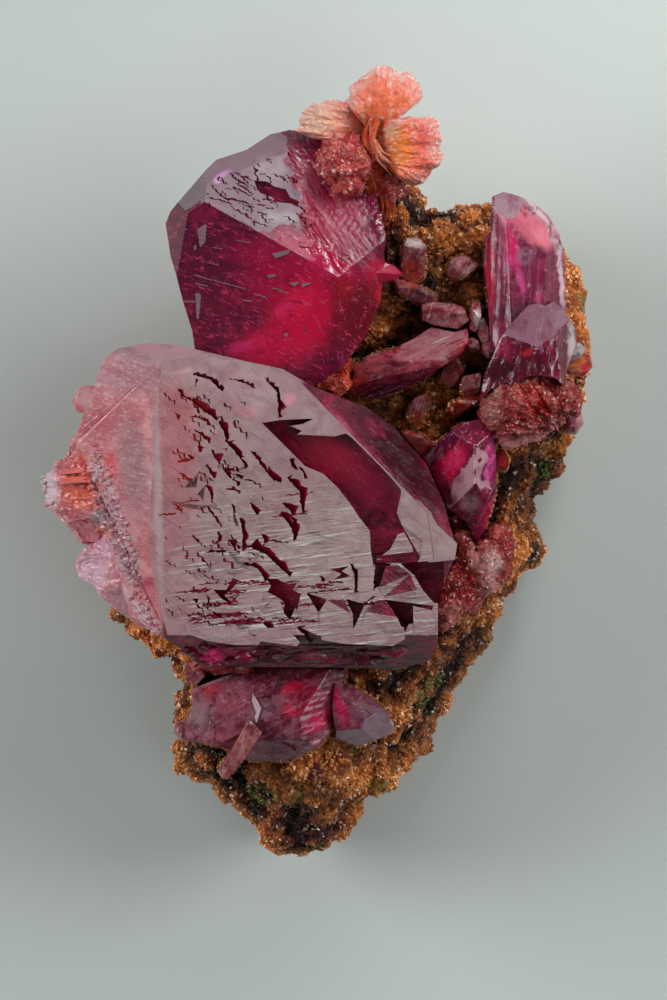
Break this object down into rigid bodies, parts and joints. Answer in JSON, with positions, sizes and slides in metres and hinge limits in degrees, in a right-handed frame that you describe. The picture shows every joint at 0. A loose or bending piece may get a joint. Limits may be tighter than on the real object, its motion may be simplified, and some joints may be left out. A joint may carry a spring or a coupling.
{
  "type": "roselite crystal specimen",
  "caption": "Magenta roselite crystals and pale rosettes on grainy brown rock; lies on its flat back with the crystals facing up.",
  "frame": {"origin": "middle of the outer box in plan, on the surface that the matrix's flat back rests on", "axes": "+Z out of the surface, the way the crystals face; +Y to the end with the salmon rosette; +X to the side with the tall blade"},
  "size_m": [0.0138, 0.0196, 0.0088],
  "materials": {
    "roselite": "clear magenta crystal with silvery stepped faces",
    "pale_roselite": "pale pink translucent crystal with striated faces",
    "salmon_sheaf": "salmon translucent petals with radial ridges",
    "brown_pink_sheaf": "granular brown-pink crystal crust",
    "gossan": "orange-brown grainy rock with a sparkling druse"
  },
  "bodies": {
    "root": {"great_crystal": "roselite", "upper_crystal": "roselite", "right_blade": "roselite", "right_pyramid": "roselite", "ruby_point": "roselite", "lower_cluster": "roselite", "lower_point": "roselite", "centre_blade": "roselite", "red_prism": "roselite", "red_ledge": "roselite", "thin_blade": "roselite", "crimson_chip": "roselite", "amber_chunk": "roselite", "shade_crystal": "roselite", "ruby_buds": "roselite", "centre_plate": "pale_roselite", "violet_plate": "pale_roselite", "stub_column": "pale_roselite", "white_blade": "pale_roselite", "pink_block": "pale_roselite", "pink_prism": "pale_roselite", "fan_tip": "pale_roselite", "lower_splinter": "pale_roselite", "side_tablet": "pale_roselite", "split_plate": "pale_roselite", "grey_plate": "pale_roselite", "clear_knob": "pale_roselite", "pale_knob": "pale_roselite", "upper_crumb": "pale_roselite", "lower_crumb": "pale_roselite", "top_rosette": "salmon_sheaf", "right_rosette": "brown_pink_sheaf", "pink_crust": "brown_pink_sheaf", "fibre_sheaf": "brown_pink_sheaf", "matrix": "gossan"}
  },
  "joints": []
}
